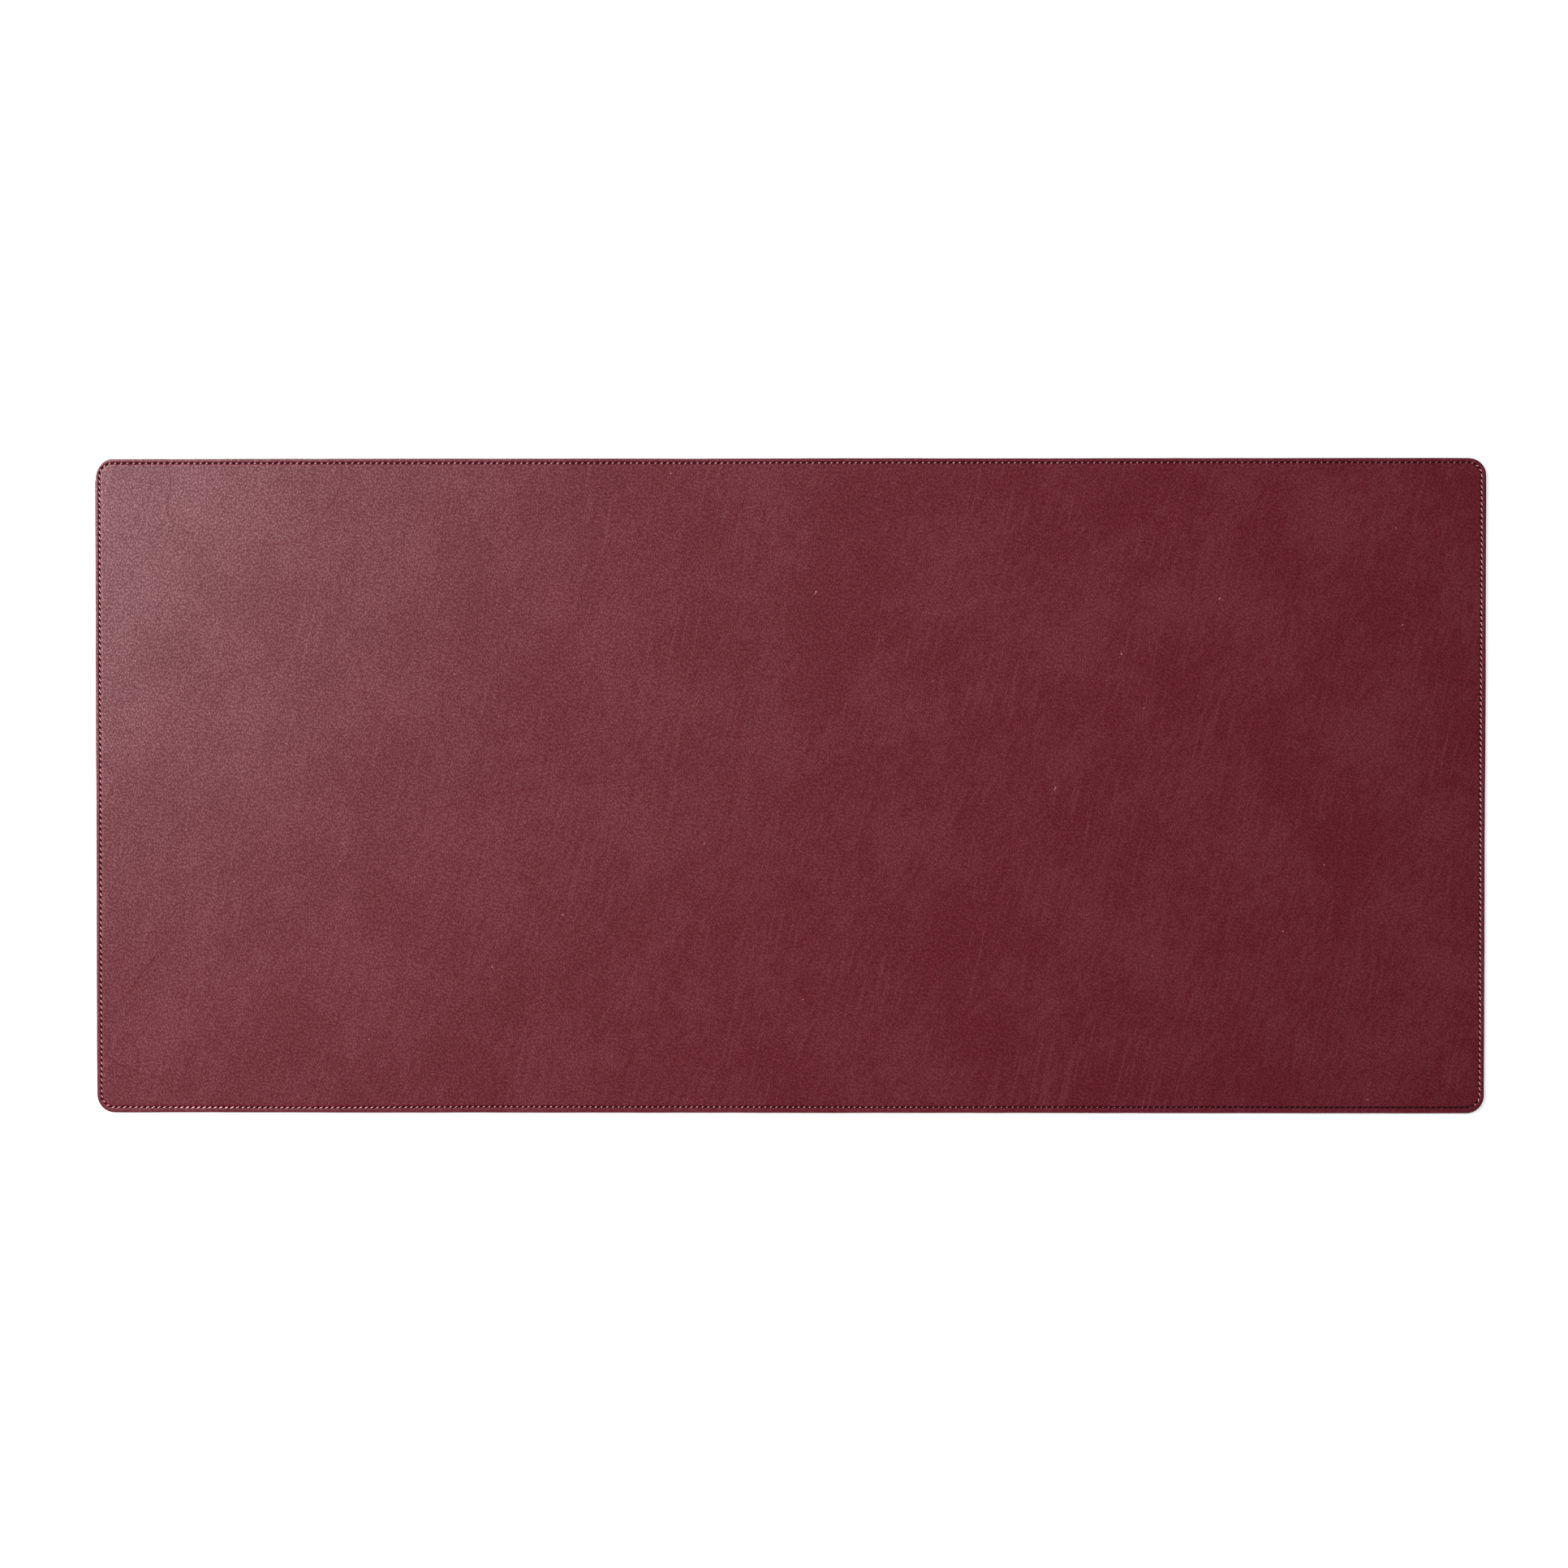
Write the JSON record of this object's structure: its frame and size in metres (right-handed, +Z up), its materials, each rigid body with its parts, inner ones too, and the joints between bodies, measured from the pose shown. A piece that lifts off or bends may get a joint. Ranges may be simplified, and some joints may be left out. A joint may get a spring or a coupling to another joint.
{
  "type": "desk mat",
  "caption": "Thin rectangular leather-look desk mat with rounded corners, a stitched border, a sealed edge and a non-slip suede underside.",
  "frame": {"origin": "on the desk, under the middle of the mat", "axes": "+X along the mat's long side, +Y away from the person at the desk, +Z up out of the writing surface"},
  "size_m": [0.9144, 0.4306, 0.0025],
  "materials": {
    "wine_leather": "embossed fine pebble grain, semi-matt",
    "base_knit": "fine knit, dyed dark red",
    "glue": "cured laminating adhesive film",
    "fibre_core": "bonded non-woven fibre sheet, matt",
    "suede": "short brushed nap, matt",
    "thread": "glossy twisted polyester thread",
    "edge_coat": "satin edge paint"
  },
  "bodies": {
    "root": {"grain_skin": "wine_leather", "base_cloth": "base_knit", "upper_glue_film": "glue", "stiffening_core": "fibre_core", "lower_glue_film": "glue", "suede_backing": "suede", "needle_thread": "thread", "bobbin_thread": "thread", "edge_paint": "edge_coat"}
  },
  "joints": []
}
